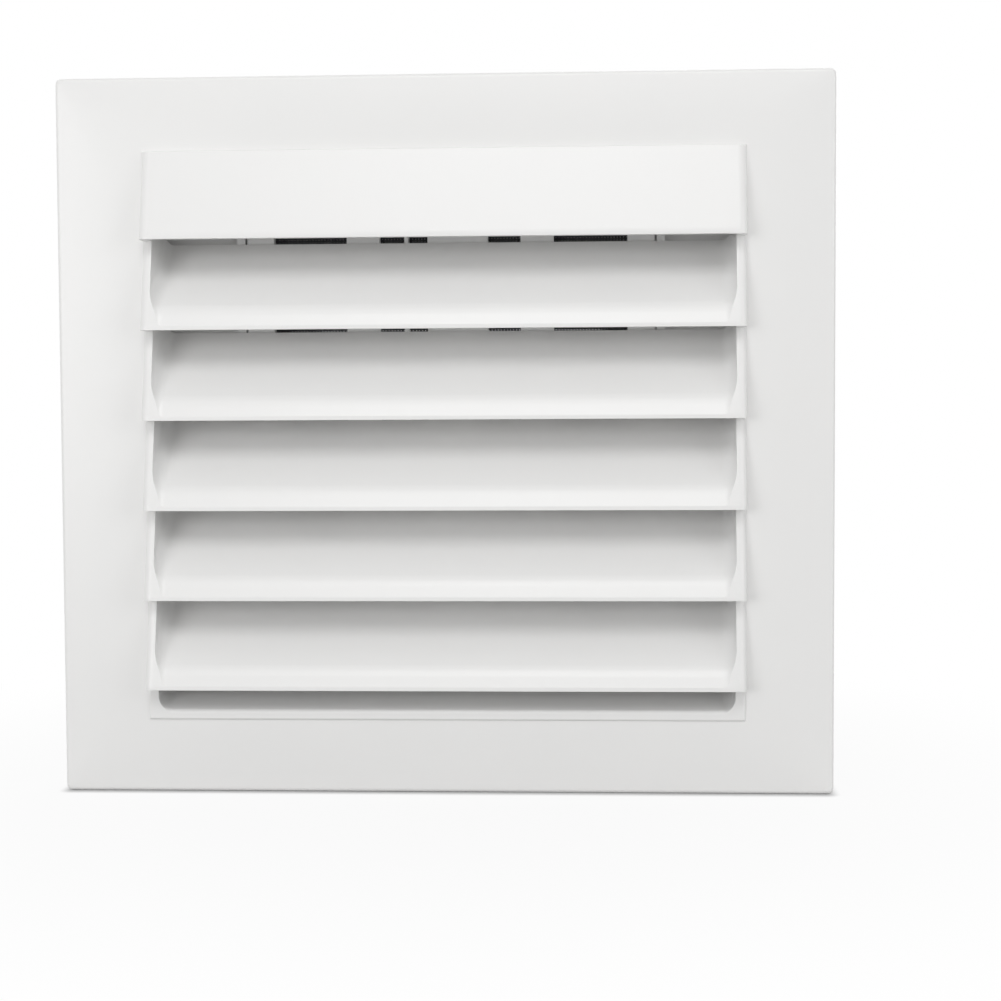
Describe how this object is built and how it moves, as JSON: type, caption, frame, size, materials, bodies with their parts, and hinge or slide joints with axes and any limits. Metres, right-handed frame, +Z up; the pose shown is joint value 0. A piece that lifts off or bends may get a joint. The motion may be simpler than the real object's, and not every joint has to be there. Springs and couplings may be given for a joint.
{
  "type": "louvred wall ventilator",
  "caption": "White moulded wall ventilator: a clip-on cover with fixed hooded slats, over a screened wall plate with a round duct spigot.",
  "frame": {"origin": "on the duct spigot's axis, in the plane of the wall that the plate is screwed to", "axes": "+X to the viewer's right, +Y into the wall along the spigot, +Z up; the slats face -Y"},
  "size_m": [0.187, 0.0616, 0.173],
  "materials": {
    "cover_plastic": "satin",
    "plate_plastic": "matte",
    "mesh_thread": "matte"
  },
  "bodies": {
    "root": {"louvre_cover": "cover_plastic", "wall_plate": "plate_plastic", "screen_frame": "plate_plastic", "insect_mesh": "mesh_thread"}
  },
  "joints": []
}
